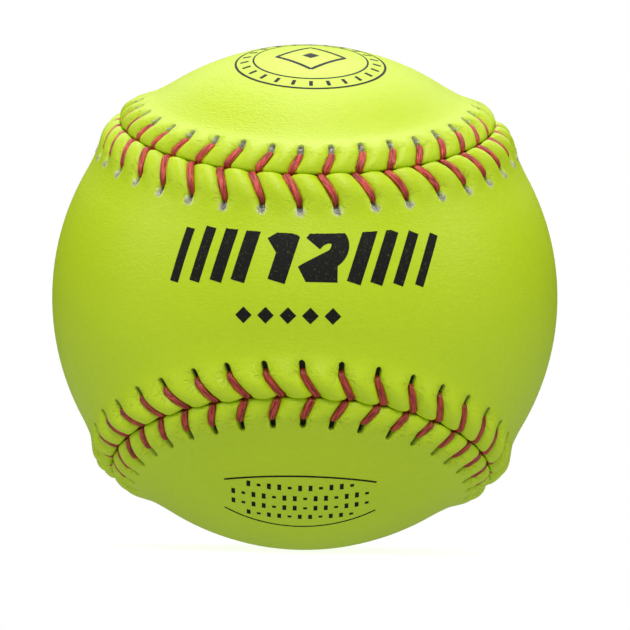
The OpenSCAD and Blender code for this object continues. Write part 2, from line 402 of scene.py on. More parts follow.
def spine_points(side, k):
    """The spine from the first lobe (k = 0) through the waist to the second (k = 1)."""
    turn = spine_reach * np.cos(math.pi * k)
    waist = np.array([0.0, -side, 0.0])
    lobe = np.array([-1.0, 0.0, 0.0]) if side > 0 else np.array([0.0, 0.0, -1.0])
    return waist * np.cos(turn)[..., None] + lobe * np.sin(turn)[..., None]


def field_rows(side, feet, shares, radius):
    """Rows between the foot of the ridge and the spine, on great circles."""
    count = len(feet)
    start = (1 if side > 0 else 3) * count // 8
    k = np.mod(np.arange(count) - start, count) / count
    spine = spine_points(side, np.where(k <= 0.5, 2 * k, 2 - 2 * k))
    feet = feet / np.linalg.norm(feet, axis=1, keepdims=True)
    angle = np.arccos(np.clip(np.sum(feet * spine, axis=1), -1, 1))[:, None]
    return [radius * (feet * np.sin(angle * (1 - s)) + spine * np.sin(angle * s)) / np.sin(angle)
            for s in shares]


print(f"{len(field_shares)} rows of field, one column for every {field_step} of the border")

# %% [markdown]
# ### Building a mesh
# Every piece here is made of rows of points with strips of quads between them. Blender could
# loft curves or bevel edges instead, but then it chooses the points. When the rows are written
# out, each point can carry marks that its finish reads, such as how far it is from a hole.

# %% Rows, strips and pieces
class Mesh:
    """Collects points and faces for one piece."""

    def __init__(self):
        self.points = []
        self.count = 0
        self.faces = []

    def row(self, points):
        """Adds points and gives back their numbers."""
        self.points.append(points)
        self.count += len(points)
        return np.arange(self.count - len(points), self.count)

    def strip(self, lower, upper, flip=False):
        """Quads between two closed rows of as many points."""
        quads = np.stack([lower, np.roll(lower, -1), np.roll(upper, -1), upper], 1)
        self.faces.extend((quads[:, ::-1] if flip else quads).tolist())

    def fans(self, fine, coarse, flip=False):
        """Faces between a fine closed row and a coarse one, several columns to one."""
        blocks = len(coarse)
        step = len(fine) // blocks
        for b in range(blocks):
            run = [fine[(b * step + s) % len(fine)] for s in range(step + 1)]
            face = run + [coarse[(b + 1) % blocks], coarse[b]]
            self.faces.append([int(p) for p in (reversed(face) if flip else face)])

    def piece(self, name):
        """The Blender object with these points, which are in millimetres."""
        data = bpy.data.meshes.new(name)
        data.from_pydata(np.concatenate(self.points) * MM, [], self.faces)
        data.validate()
        made = bpy.data.objects.new(name, data)
        bpy.context.collection.objects.link(made)
        return made


def shade_smooth(piece):
    for polygon in piece.data.polygons:
        polygon.use_smooth = True


def add_mark(piece, label, values):
    """One number for each point of a piece, for its finish to read."""
    piece.data.attributes.new(label, "FLOAT", "POINT").data.foreach_set("value", values)


# %% [markdown]
# ### One cover panel
# The panel has a real thickness, so that the sewn edge shows leather and not a paper-thin rim.
# A Solidify modifier would carry the holes through to the inside. Here the wall goes down
# from the lip, the border and the field close the outside, and a plain face closes the inside.

# %% One cover panel
foot_share = 0.06
far_from_holes = 40.0


def add_panel(name, side):
    """One cover panel: wall, border, field and underside."""
    places, across, radii, marks = border_grid(side)
    mesh = Mesh()
    flip = side < 0
    wall_radii = np.full(places.shape[1], under_r + hollow_h)
    bottom = mesh.row(seam_point(places[0], across[0], wall_radii))
    middle = mesh.row(seam_point(places[0], across[0], (wall_radii + radii[0]) / 2))
    rows = [bottom, middle]
    rows += [mesh.row(seam_point(*line)) for line in zip(places, across, radii)]
    for lower, upper in zip(rows, rows[1:]):
        mesh.strip(lower, upper, flip)
    border_count = mesh.count
    feet_places, feet_across = places[-1][::field_step], across[-1][::field_step]
    feet = seam_point(feet_places, feet_across, np.full(len(feet_places), skin_r))
    count = len(feet)
    start = (1 if side > 0 else 3) * count // 8

    def add_field(radius, first_row, turned):
        last = first_row
        for points in field_rows(side, feet, field_shares, radius):
            here = mesh.row(points)
            mesh.strip(last, here, turned)
            last = here
        spine = mesh.row(radius * spine_points(side, np.arange(count // 2 + 1) / (count // 2)))
        k = np.mod(np.arange(count) - start, count)
        on_spine = spine[np.where(k <= count // 2, k, count - k)]
        mesh.strip(last, on_spine, turned)

    outer_feet = mesh.row(field_rows(side, feet, [foot_share], skin_r)[0])
    mesh.fans(rows[-1], outer_feet, flip)
    add_field(skin_r, outer_feet, flip)
    under_edge = mesh.row(seam_point(feet_places, np.full(count, side * hollow_v),
                                     np.full(count, under_r + hollow_edge_h)))
    mesh.fans(bottom, under_edge, not flip)
    under_feet = mesh.row(feet / skin_r * under_r)
    mesh.strip(under_edge, under_feet, not flip)
    add_field(under_r, under_feet, not flip)

    piece = mesh.piece(name)
    shade_smooth(piece)
    for label, values in marks.items():
        # Points off the border count as far from every hole
        elsewhere = far_from_holes if label in ("rim", "pull_far") else 0.0
        filled = np.full(mesh.count, elsewhere)
        filled[2 * places.shape[1]:border_count] = values.ravel()
        add_mark(piece, label, filled)
    print(f"{name}: {mesh.count} points, {len(piece.data.polygons)} faces")
    return piece


front_panel = add_panel("cover_front", 1)
back_panel = add_panel("cover_back", -1)

# %% [markdown]
# ## The threads
# A ball is sewn with two needles. Each thread comes up through a hole, lies in its groove over
# the edge of the panel, dives between the panels and crosses under the other panel to that
# panel's next hole. It is swept along that route as a flat tube with the groove of its two
# plies winding round it, because a plain round tube looks like wire.

# %% The route of one thread
thread_wide = 1.4
thread_thick = 0.74


def thread_stops(side, i):
    """Distance from the seam, radius, width and thickness along one stitch."""
    start, end = slit_ends(side, i)

    def on_floor(v, share=1.0):
        """The thread's middle, on the floor of its groove and then down the lip."""
        edge = seam_gap / 2 + notch_depth
        lip = np.clip((v - edge) / (crest_v - edge), 0, 1)
        lip_h = ridge_h - lip_drop - lip_dip
        lip_h = lip_h + (ridge_h - groove_depth - lip_h) * np.sqrt(1 - (1 - lip) ** 2)
        groove_h = lip_h if v < crest_v else ridge(v) - groove(v, start, end)
        return skin_r + groove_h + thread_thick / 2 * share

    rise = start + 0.42
    back_off = rise - 0.55
    # The front panel's leg closes the V: it dives on the far side of the seam line
    over = 0.1 if side > 0 else -0.1
    return [
        (rise + 0.1, coat_r + 0.45, 0.9, 0.8),
        (rise, skin_r - 0.5, 0.95, 0.8),
        (rise - 0.1, on_floor(rise, -0.2), 1.04, 0.76),
        (back_off, on_floor(back_off, 0.85), 1.18, thread_thick),
        (back_off * 0.82, on_floor(back_off * 0.82), 1.32, thread_thick),
        (back_off * 0.62, on_floor(back_off * 0.62), thread_wide, thread_thick),
        (back_off * 0.43, on_floor(back_off * 0.43), thread_wide, thread_thick),
        (0.95 - over, on_floor(0.95), 1.38, thread_thick),
        (0.5 - over, on_floor(0.5, 0.8), 1.32, 0.7),
        (0.22 - over, skin_r - 0.05, 1.1, 0.66),
        (0.0, under_r + 0.35, 0.85, 0.8),
        (-2.4, coat_r + 0.5, 0.85, 0.8)]


def thread_route(first):
    """All stops of one thread, each as place, distance, radius, width and thickness."""
    stops = []
    for i in range(stitches):
        side = 1 if (i + first) % 2 == 0 else -1
        for v, radius, wide, thick in thread_stops(side, i):
            place = groove_place(side, i, max(v, 0.0))
            if v < -1:
                # This stop lies under the other panel, on the way to its next hole
                reach = slit_ends(-side, i + 1)[0]
                ahead = groove_place(-side, i + 1, reach)
                place = place + (ahead - place) * (-v / reach)
            stops.append((place, side * v, radius, wide, thick))
    return np.array(stops)


def smooth_closed(stops, steps):
    """Catmull-Rom curve through stops that close on themselves one round further on."""
    before = np.roll(stops, 1, axis=0)
    before[0, 0] -= stitches
    after = np.roll(stops, -1, axis=0)
    after[-1, 0] += stitches
    later = np.roll(after, -1, axis=0)
    later[-1, 0] += stitches
    lines = []
    for t in np.arange(steps) / steps:
        lines.append(0.5 * (2 * stops + (after - before) * t
                            + (2 * before - 5 * stops + 4 * after - later) * t ** 2
                            + (3 * stops - before - 3 * after + later) * t ** 3))
    return np.stack(lines, 1).reshape(-1, stops.shape[1])


print(f"{2 * len(thread_stops(1, 0))} stops of the thread for two stitches")

# %% Sweep the threads
thread_sides = 16
thread_steps = 3
twist_every = 7.5
ply_dip = 0.1
ply_sharp = 1.9
squareness = 0.85


def add_thread(name, first):
    """One closed tube along every stop, its width laid along the seam."""
    route = smooth_closed(thread_route(first), thread_steps)
    place, across, radius, wide, thick = route.T
    middle = seam_point(place, across, radius)
    ahead = np.roll(middle, -1, axis=0) - np.roll(middle, 1, axis=0)
    tangent = ahead / np.linalg.norm(ahead, axis=1, keepdims=True)
    _, along, _ = seam_frame(place)
    flat = along - tangent * np.sum(along * tangent, axis=1, keepdims=True)
    flat = flat / np.linalg.norm(flat, axis=1, keepdims=True)
    out = np.cross(tangent, flat)
    steps = np.linalg.norm(np.roll(middle, -1, axis=0) - middle, axis=1)
    run = np.concatenate([[0], np.cumsum(steps)[:-1]])
    angle = np.arange(thread_sides) / thread_sides * 2 * math.pi
    ply = np.abs(np.sin(angle[None, :] - run[:, None] / twist_every * 2 * math.pi))
    plump = 1 - ply_dip + ply_dip * np.minimum(1, ply * ply_sharp)
    squared = np.sign(np.cos(angle)) * np.abs(np.cos(angle)) ** squareness
    rounded = np.sign(np.sin(angle)) * np.abs(np.sin(angle)) ** squareness
    points = (middle[:, None, :]
              + flat[:, None, :] * (wide[:, None] / 2 * squared[None, :] * plump)[..., None]
              + out[:, None, :] * (thick[:, None] / 2 * rounded[None, :] * plump)[..., None])
    mesh = Mesh()
    rings = [mesh.row(ring) for ring in points]
    for ring, following in zip(rings, rings[1:] + rings[:1]):
        mesh.strip(ring, following)
    piece = mesh.piece(name)
    shade_smooth(piece)
    add_mark(piece, "run", np.repeat(run, thread_sides))
    add_mark(piece, "round", np.tile(angle, len(run)))
    add_mark(piece, "across", np.repeat(np.abs(across), thread_sides))
    add_mark(piece, "torn_and_lit", np.repeat(torn_and_lit_share(place), thread_sides))
    print(f"{name}: {run[-1] / 1000:.2f} m of thread, {len(piece.data.polygons)} faces")
    return piece


leading_thread = add_thread("thread_lead", 0)
following_thread = add_thread("thread_follow", 1)

# %% [markdown]
# ## The torn lining
# On the ball's upper half the holes are torn, and fibres of the lining stick out of them: round
# the far end on the front panel, and round the thread on the back panel. A hair system would
# have to be turned into a mesh for the export, so the fibres are short tapered tubes, each
# rooted in a hole and bent over the leather, with seeded random lengths and directions.

# %% Shape of the fibres
fibres_each = 22
fibre_half = 0.05
fibre_parts = (0.0, 0.35, 0.7, 1.0)
fibre_lifts = (-0.25, 0.5, 1.0, 0.7)
fibre_taper = (1.0, 0.9, 0.7, 0.3)
rings_each = len(fibre_parts)
corners = 3
torn_enough = 0.3
front_spread, back_spread = 105, 180
thread_exit = 1.05
root_depth = 0.35


def slit_rim(side, i, turn, share):
    """Place and distance of a point of hole i's rim; share 1 is the rim, less is inside."""
    start, end = slit_ends(side, i)
    # On the back panel the fluff sits where the thread comes out, on the front at the far end
    middle = end - slit_half if side > 0 else start + thread_exit
    v = middle + slit_half * share * np.cos(turn)
    centre = groove_place(side, i, v)
    width = stitch_width(centre, side * v)
    return centre + slit_half * share * np.sin(turn) / width, v


def add_tubes(mesh, rings):
    """Thin tapered tubes, closed at both ends, for all fibres of a panel at once."""
    for number, here in enumerate(rings):
        ahead = rings[min(number + 1, rings_each - 1)] - rings[max(number - 1, 0)]
        ahead = ahead / np.linalg.norm(ahead, axis=1, keepdims=True)
        up = here / np.linalg.norm(here, axis=1, keepdims=True)
        beside = np.cross(ahead, up)
        beside = beside / np.linalg.norm(beside, axis=1, keepdims=True)
        half = fibre_half * fibre_taper[number]
        for corner in range(corners):
            angle = corner / corners * 2 * math.pi
            around = beside * math.cos(angle) + up * math.sin(angle)
            mesh.row(here + around * half)
    size = rings_each * corners * len(rings[0])
    point = np.arange(mesh.count - size, mesh.count).reshape(rings_each, corners, -1)
    for lower, upper in zip(point, point[1:]):
        for corner in range(corners):
            after = (corner + 1) % corners
            quads = np.stack([lower[corner], lower[after], upper[after], upper[corner]], 1)
            mesh.faces.extend(quads[:, ::-1].tolist())
    mesh.faces.extend(point[0].T.tolist())
    mesh.faces.extend(point[-1][::-1].T.tolist())


# %% Fibres as one piece
def add_lint(name):
    """Random lengths, turns and bends for every fibre, and their tubes."""
    chance = np.random.default_rng(31)
    mesh = Mesh()
    for side in (1, -1):
        i = np.repeat(np.arange(stitches), fibres_each)
        i = i[torn_and_lit_share(i) > torn_enough]
        torn_and_lit = torn_and_lit_share(i) * (0.7 + 0.6 * chance.random(len(i)))
        spread = math.radians(front_spread if side > 0 else back_spread)
        turn = chance.uniform(-1.0, 1.0, len(i)) * spread
        # On the front panel the fibres reach past the rim, and on the back few of them do
        reach = 1 + torn_and_lit * chance.uniform(0.05, 0.7, len(i))
        if side < 0:
            reach = 0.1 + torn_and_lit * chance.uniform(0.2, 0.9, len(i))
        bend = chance.normal(0, 0.35, len(i))
        rooted = chance.random(len(i))
        rise = chance.uniform(0.03, 0.16, len(i))
        rings = []
        for part, lift in zip(fibre_parts, fibre_lifts):
            root = 0.35 + 0.6 * rooted if side > 0 else 0.0
            share = root + (reach - root) * part
            place, v = slit_rim(side, i, turn + bend * part, share)
            sunk = 0.0 if side > 0 else root_depth
            radius = skin_r + ridge(v) + lift * rise + 0.01 - sunk
            rings.append(seam_point(place, side * v, radius))
        add_tubes(mesh, rings)
    piece = mesh.piece(name)
    print(f"{name}: {len(piece.data.polygons)} faces")
    return piece


torn_rims = add_lint("torn_lining_fibres")

# %% [markdown]
# ## The ink
# Real balls carry stamped print. It could be an image on the leather, but each stroke is a thin
# closed strip that follows the sphere, so it needs no image and stays crisp at any distance.

# %% Strokes of ink
ink_up = 0.03
ink_down = 0.04
ink_step = 0.8


def stroke_grid(line, width):
    """Rows of points over a stroke of even width that follows a line."""
    lengths = np.linalg.norm(np.diff(line, axis=0), axis=1)
    at = np.concatenate([[0], np.cumsum(lengths)])
    steps = max(2, int(at[-1] / ink_step) + 1)
    wanted = np.unique(np.concatenate([at, np.linspace(0, at[-1], steps)]))
    spine = np.stack([np.interp(wanted, at, line[:, k]) for k in (0, 1)], 1)
    way = np.gradient(spine, axis=0)
    way = way / np.linalg.norm(way, axis=1, keepdims=True)
    beside = np.stack([-way[:, 1], way[:, 0]], 1)
    offsets = np.linspace(-width / 2, width / 2, max(2, int(width / ink_step) + 1))
    return spine[:, None, :] + beside[:, None, :] * offsets[None, :, None]


def on_ball(flat, turn, rise):
    """Directions to points that lie, in millimetres, right of and above a spot on the ball."""
    turn, rise = math.radians(turn), math.radians(rise)
    out = np.array([math.sin(turn) * math.cos(rise), -math.cos(turn) * math.cos(rise),
                    math.sin(rise)])
    right = np.array([math.cos(turn), math.sin(turn), 0.0])
    up = np.cross(out, right)
    far = np.linalg.norm(flat, axis=2, keepdims=True)
    angle = far / skin_r
    sideways = right * flat[..., :1] + up * flat[..., 1:]
    sideways = sideways / np.maximum(far, 1e-9)
    return out * np.cos(angle) + sideways * np.sin(angle)


def rim(grid):
    """The points round the edge of a grid, as one closed row."""
    return np.concatenate([grid[0, :-1], grid[:-1, -1], grid[-1, :0:-1], grid[:0:-1, 0]])


def add_ink(name, strokes, turn, rise):
    """Strokes are (points, width) round the spot at this turn and rise, in degrees."""
    mesh = Mesh()
    for points, width in strokes:
        ball = on_ball(stroke_grid(np.array(points, float), width), turn, rise)
        rows = len(ball)
        top = mesh.row((ball * (skin_r + ink_up)).reshape(-1, 3)).reshape(rows, -1)
        low = mesh.row((ball * (skin_r - ink_down)).reshape(-1, 3)).reshape(rows, -1)
        for grid, flip in ((top, False), (low, True)):
            quads = np.stack([grid[:-1, :-1], grid[1:, :-1], grid[1:, 1:], grid[:-1, 1:]], -1)
            quads = quads.reshape(-1, 4)
            mesh.faces.extend((quads[:, ::-1] if flip else quads).tolist())
        mesh.strip(rim(low), rim(top), flip=True)
    piece = mesh.piece(name)
    print(f"{name}: {len(strokes)} strokes, {len(piece.data.polygons)} faces")
    return piece


# %% [markdown]
# ### The stamps
# What they show is generic. The waist has the size in inches between slanted bars, and five
# small diamonds below. The top has a playing diamond in a double ring with ticks, and the
# bottom has rows of small marks between two arcs. A font would bring in letter shapes of its
# own, so all is drawn from short lines and arcs, in millimetres.

# %% Lines and arcs
def arc(radius, first, last, x=0.0, y=0.0, count=40):
    """Points of an arc; angles in degrees from the right, counter-clockwise."""
    angle = np.radians(np.linspace(first, last, count))
    return [(x + radius * math.cos(a), y + radius * math.sin(a)) for a in angle]


def lean(points, slope=0.3):
    return [(x + slope * y, y) for x, y in points]


def shift(points, x):
    return [(a + x, b) for a, b in points]


def solid_diamond(x, y, half):
    """A short stroke as wide as it is long, laid at 45 degrees."""
    return [(x - half / 2, y - half / 2), (x + half / 2, y + half / 2)], half * math.sqrt(2)


# %% The stamp on the waist
bar_h = 10.0
bar_widths = (2.6, 2.3, 2.0, 1.7)
first_bar, bar_gap, right_shift = 10.2, 4.1, 0.4
digit_wide = 3.2
one = [(-2.6, 6.4), (0.2, 8.5), (0.2, 0.0)]
two = arc(2.6, 160, -35, 2.7, 6.0, 14) + [(0.4, 1.6), (6.3, 1.6)]
waist_strokes = [(shift(lean(one), -3.4), digit_wide), (shift(lean(two), 0.9), digit_wide)]
for k, wide in enumerate(bar_widths):
    reach = first_bar + bar_gap * k
    for x in (-reach, reach + right_shift):
        waist_strokes.append((lean([(x, 0.0), (x, bar_h)]), wide))
waist_strokes += [solid_diamond(x, -6.0, 1.5) for x in (-9.0, -5.0, -1.0, 3.0, 7.0)]
waist_stamp = add_ink("waist_stamp", waist_strokes, -1.5, 0.5)

# %% The stamp on the top
outer_ring, inner_ring = 14.2, 10.8
outer_wide, inner_wide = 0.45, 0.35
tick_start, tick_end = 11.7, 13.3
fine = 0.7
diamond = [(0.0, -7.0), (6.4, 0.0), (0.0, 6.4), (-6.4, 0.0), (0.0, -7.0)]
top_strokes = [(arc(outer_ring, -90, 270, count=97), outer_wide)]
top_strokes += [(arc(inner_ring, -90, 270, count=73), inner_wide)]
top_strokes += [(diamond, fine), solid_diamond(0.0, 0.0, 1.6)]
for angle in np.radians(np.arange(0, 360, 15)):
    x, y = math.cos(angle), math.sin(angle)
    top_strokes.append(([(tick_start * x, tick_start * y), (tick_end * x, tick_end * y)], fine))
top_stamp = add_ink("top_stamp", top_strokes, 1.5, 66.0)

# %% The stamp on the bottom
arc_r, arc_drop, arc_wide = 30.0, 22.0, 0.4
mark_gap = 1.9
tall_mark, short_mark = 0.75, 0.35
low_strokes = [(arc(arc_r, 62, 118, 0.0, -arc_drop), arc_wide)]
low_strokes += [(arc(arc_r, -118, -62, 0.0, arc_drop), arc_wide)]
for y, count in ((4.8, 11), (1.8, 14), (-1.2, 14), (-4.2, 11)):
    for k in range(count):
        x = (k - (count - 1) / 2) * mark_gap
        tall = tall_mark if (k + count) % 3 else short_mark
        low_strokes.append(([(x, y - tall), (x, y + tall)], fine))
low_stamp = add_ink("low_stamp", low_strokes, 0.5, -54.0)

# %% [markdown]
# ## A way to write shader maths
# Node trees for grain and wear are long when each node is wired by hand. `Wire` wraps a socket,
# so that sums and products of masks read as plain arithmetic, and `Finish.node` adds any other
# node from its type, its settings and what goes into its sockets.

# %% Numbers between nodes
class Wire:
    """A number or colour on its way between shader nodes."""

    def __init__(self, finish, socket):
        self.finish = finish
        self.socket = socket

    def maths(self, operation, *values):
        """Any maths node with these inputs."""
        return self.finish.node("ShaderNodeMath", {"operation": operation},
                                dict(enumerate(values)))

    def __add__(self, other):
        return self.maths("ADD", self, other)

    def __radd__(self, other):
        return self.maths("ADD", other, self)

    def __sub__(self, other):
        return self.maths("SUBTRACT", self, other)

    def __rsub__(self, other):
        return self.maths("SUBTRACT", other, self)

    def __mul__(self, other):
        return self.maths("MULTIPLY", self, other)

    def __rmul__(self, other):
        return self.maths("MULTIPLY", other, self)

    def clamped(self, low, high):
        """0 at low and below, 1 at high and above, and smooth between."""
        return self.finish.node("ShaderNodeMapRange", {"interpolation_type": "SMOOTHSTEP"},
                                {"Value": self, "From Min": low, "From Max": high})


# %% Finishes made of nodes
class Finish:
    """A material for one kind of surface."""

    def __init__(self, name):
        self.material = bpy.data.materials.new(name)
        self.material.use_nodes = True
        self.tree = self.material.node_tree
        self.shader = self.tree.nodes["Principled BSDF"]

    def node(self, kind, settings=None, sockets=None, out=0):
        """Any node: its settings first, then the values or links of its sockets."""
        made = self.tree.nodes.new(kind)
        for name, value in (settings or {}).items():
            setattr(made, name, value)
        for key, value in (sockets or {}).items():
            self.plug(made.inputs[key], value)
        return Wire(self, made.outputs[out])

    def plug(self, socket, value):
        """Links a wire to a socket, or sets a number or a colour there."""
        if isinstance(value, Wire):
            self.tree.links.new(value.socket, socket)
        elif isinstance(value, (tuple, list)) and len(value) == 3 and socket.type == "RGBA":
            socket.default_value = (*value, 1.0)
        else:
            socket.default_value = value

    def mix(self, share, first, second):
        """A colour between two others."""
        return self.node("ShaderNodeMix", {"data_type": "RGBA"},
                         {0: share, 6: first, 7: second}, out=2)

    def mark(self, name):
        """A number that the mesh carries at each of its points."""
        return self.node("ShaderNodeAttribute", {"attribute_name": name}, out="Fac")

    def place(self):
        """Position on the ball in millimetres."""
        spot = self.node("ShaderNodeTexCoord", out="Object")
        return self.node("ShaderNodeVectorMath", {"operation": "SCALE"},
                         {0: spot, "Scale": 1 / MM})

    def noise(self, vector, scale, detail=2.0, rough=0.5, stretch=None, bend=0.0):
        """Cloudy numbers round a half, with about so many clouds in a unit of the vector."""
        if stretch:
            vector = self.node("ShaderNodeVectorMath", {"operation": "MULTIPLY"},
                               {0: vector, 1: stretch})
        return self.node("ShaderNodeTexNoise", None,
                         {"Vector": vector, "Scale": scale, "Detail": detail,
                          "Roughness": rough, "Distortion": bend})

    def bump(self, height, distance, strength=1.0):
        """The normal of a surface that stands up by a distance in millimetres."""
        return self.node("ShaderNodeBump", None,
                         {"Height": height, "Distance": distance * MM, "Strength": strength})

    def finish(self, **sockets):
        """Fills the shader's own sockets and gives back the material."""
        for name, value in sockets.items():
            self.plug(self.shader.inputs[name.replace("_", " ")], value)
        print(f"{self.material.name}: {len(self.tree.nodes)} nodes")
        return self.material


# %% [markdown]
# ## Finishes
# ### Leather cover
# The cover is coated imitation leather with a fine grain, softly shiny and very saturated. The
# pull of the thread wrinkles it, and the wrinkles fan out from each hole. They could be sculpted,
# but they are hairlines, so they are noise over the angle round the hole: it changes fast with
# the angle and slowly with the distance, and so it draws lines, darkened as painted shade. Torn
# holes on the upper half have a pale fluffy rim and floor, partly painted light, and the others
# are painted black inside, as painted shade.

# %% Leather cover
optic_yellow, bright_yellow = (0.485, 0.695, 0.001), (0.52, 0.74, 0.002)
# The crease colour is painted shade in the wrinkles
dull_yellow, crease_shade_yellow = (0.42, 0.62, 0.001), (0.3, 0.44, 0.001)
# The pale fluff round torn holes is partly painted light
lit_fluff_white = (0.8, 0.82, 0.68)


def hole_creases(coat):
    """1 on the wrinkles that fan out from each hole, and 0 elsewhere."""
    far = coat.mark("pull_far")
    fan = coat.node("ShaderNodeCombineXYZ", None,
                    {0: coat.mark("pull_turn") * 3.4, 1: far * 0.3, 2: coat.mark("stitch") * 3.1})
    hairs = coat.noise(fan, 1.6, 3.0, 0.55)
    near_hole = far.clamped(0.5, 1.1) * (1 - far.clamped(1.7, 3.3))
    return (1 - hairs.clamped(0.34, 0.45)) * near_hole


def hole_inside(coat, place):
    """Painted shade, black, on a sound hole's floor, and grey fluff on a ripped one's, partly
    painted light.
    """
    fluff = coat.noise(place, 3.6, 3.0, 0.6)
    # The black floor is painted shade in the hole's depth, and the pale grey of a torn one is
    # partly painted light
    dark = coat.mix(fluff.clamped(0.4, 0.7), (0.006, 0.006, 0.005), (0.04, 0.04, 0.035))
    pale = coat.mix(fluff.clamped(0.35, 0.65), (0.08, 0.08, 0.06), (0.42, 0.42, 0.34))
    return coat.mix(coat.mark("torn_and_lit"), dark, pale)


def leather():
    coat = Finish("optic_leather")
    place = coat.place()
    creases = hole_creases(coat)
    # The dye is a little uneven, in broad patches and in small ones
    broad = coat.noise(place, 0.045, 2.0, 0.5)
    mottle = coat.noise(place, 0.9, 4.0, 0.65)
    shade = coat.mix(broad, optic_yellow, bright_yellow)
    shade = coat.mix(mottle.clamped(0.35, 0.75) * 0.22, shade, dull_yellow)
    # Painted shade: the wrinkles are darker
    shade = coat.mix(creases * 0.3, shade, crease_shade_yellow)
    # The pale fluffy rim of a torn hole, partly painted light, is broken up by noise
    halo = (1 - coat.mark("rim").clamped(0.6, 1.3)) * coat.mark("frayed_and_lit")
    halo = halo * coat.noise(place, 1.5, 4.0, 0.7).clamped(0.38, 0.6)
    shade = coat.mix(halo * 0.8, shade, lit_fluff_white)
    colour = coat.mix(coat.mark("hole"), shade, hole_inside(coat, place))
    # Pebbles of grain, ripples of the stretched leather, and the wrinkles as small furrows
    pebbles = coat.node("ShaderNodeTexVoronoi", {"feature": "SMOOTH_F1"},
                        {"Vector": place, "Scale": 1.7, "Smoothness": 0.7})
    ripples = coat.noise(place, 1.1, 3.0, 0.6, stretch=(0.6, 0.6, 1.5), bend=1.6)
    height = pebbles * 0.4 + ripples * 1.5 - creases * 1.2
    rough = 0.42 + mottle * 0.1
    return coat.finish(Base_Color=colour, Roughness=rough, Specular_IOR_Level=0.46,
                       Normal=coat.bump(height, 0.075, 0.8))


cover = leather()

# %% [markdown]
# ### Waxed thread
# The thread is red, with wax on it. Its fibres lie side by side, so its streaks follow its
# length: they are noise that is stretched along the run of the thread. A plain red would look
# like plastic wire. The thread darkens towards its holes, and on the lower half of the ball it is
# a deeper red, as painted shade.

# %% Waxed thread
def waxed_thread():
    wax = Finish("waxed_red_thread")
    run = wax.mark("run")
    side = wax.mark("round").maths("COSINE", wax.mark("round"))
    across = wax.mark("across")
    lengthwise = wax.node("ShaderNodeCombineXYZ", None, {0: run * 0.28, 1: side * 1.6, 2: 0.0})
    fibres = wax.noise(lengthwise, 1.5, 3.0, 0.6)
    blotch = wax.noise(wax.place(), 0.9, 2.0, 0.5)
    red = wax.mix(fibres.clamped(0.38, 0.6), (0.2, 0.01, 0.008), (0.84, 0.105, 0.07))
    red = wax.mix(blotch * 0.3, red, (0.42, 0.03, 0.014))
    # On the lower half of the ball the thread is a deeper red, as painted shade
    red = wax.mix((1 - wax.mark("torn_and_lit")) * 0.3, red, (0.08, 0.002, 0.003))
    # The thread darkens from 3.4 to 5.4 mm out from the seam line, towards its holes
    dull = across.clamped(3.4, 5.4) * 0.55
    colour = wax.mix(dull, red, (0.16, 0.004, 0.004))
    return wax.finish(Base_Color=colour, Roughness=0.3, Specular_IOR_Level=0.6,
                      Normal=wax.bump(fibres, 0.4, 1.0))


thread = waxed_thread()

# %% [markdown]
# ### Ink and torn lining
# The ink is thin, and in small worn specks of it the leather's colour comes through. The
# lining's fibres are undyed and grimy. Both are matt, and noise over the ball is enough for
# them: a print has no grain of its own, and a fibre is too thin to show any.

# %% Ink and torn lining
def stamped_ink():
    ink = Finish("stamped_black_ink")
    specks = ink.noise(ink.place(), 2.4, 3.0, 0.6).clamped(0.56, 0.74)
    colour = ink.mix(specks * 0.5, (0.006, 0.007, 0.005), (0.11, 0.14, 0.02))
    return ink.finish(Base_Color=colour, Roughness=0.6, Specular_IOR_Level=0.2,
                      Normal=ink.bump(specks, 0.05, 0.6))


def torn_lining():
    lint = Finish("torn_lining")
    grime = lint.noise(lint.place(), 0.8, 3.0, 0.6).clamped(0.3, 0.7)
    return lint.finish(Base_Color=lint.mix(grime, (0.72, 0.72, 0.66), (0.28, 0.28, 0.25)),
                       Roughness=0.9, Specular_IOR_Level=0.1)


ink = stamped_ink()
lint = torn_lining()

# %% [markdown]
# ### Hidden layers, and which piece wears what
# Cork, yarn and cement show only when the ball is opened, so each keeps its imported shape and has
# one simple grain. Then every piece gets its material and its body, and the imported node that
# it stands for, where there is one, is hidden.

# %% Finishes of the hidden layers
def plain_layer(name, dark, light, scale, rough):
    """A material that varies between two colours."""
    layer = Finish(name)
    grain = layer.noise(layer.place(), scale, 4.0, 0.6)
    return layer.finish(Base_Color=layer.mix(grain, dark, light), Roughness=rough,
                        Normal=layer.bump(grain, 0.1, 0.5))


def dress(piece, material):
    piece.data.materials.clear()
    piece.data.materials.append(material)


hidden_looks = {
    "cork_core": plain_layer("cork_and_rubber", (0.1, 0.05, 0.03), (0.3, 0.17, 0.09), 0.6, 0.8),
    "yarn_winding": plain_layer("wound_yarn", (0.5, 0.47, 0.4), (0.8, 0.77, 0.68), 1.5, 0.9),
    "latex_coat": plain_layer("dried_cement", (0.5, 0.38, 0.18), (0.8, 0.66, 0.36), 0.3, 0.6)}
for node, material in hidden_looks.items():
    dress(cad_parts[node], material)

# %% Bodies, and the imported nodes that are hidden
for piece, material, node, slot in (
        (front_panel, cover, "cover_panel_front", "cover"),
        (back_panel, cover, "cover_panel_back", "cover"),
        (leading_thread, thread, "thread_leading", "thread"),
        (following_thread, thread, "thread_following", "thread")):
    dress(piece, material)
    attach(piece, "root")
    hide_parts(node)
for piece, material in ((torn_rims, lint), (waist_stamp, ink), (top_stamp, ink),
                        (low_stamp, ink)):
    dress(piece, material)
    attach(piece, "root")
print(len(bpy.data.materials), "materials")

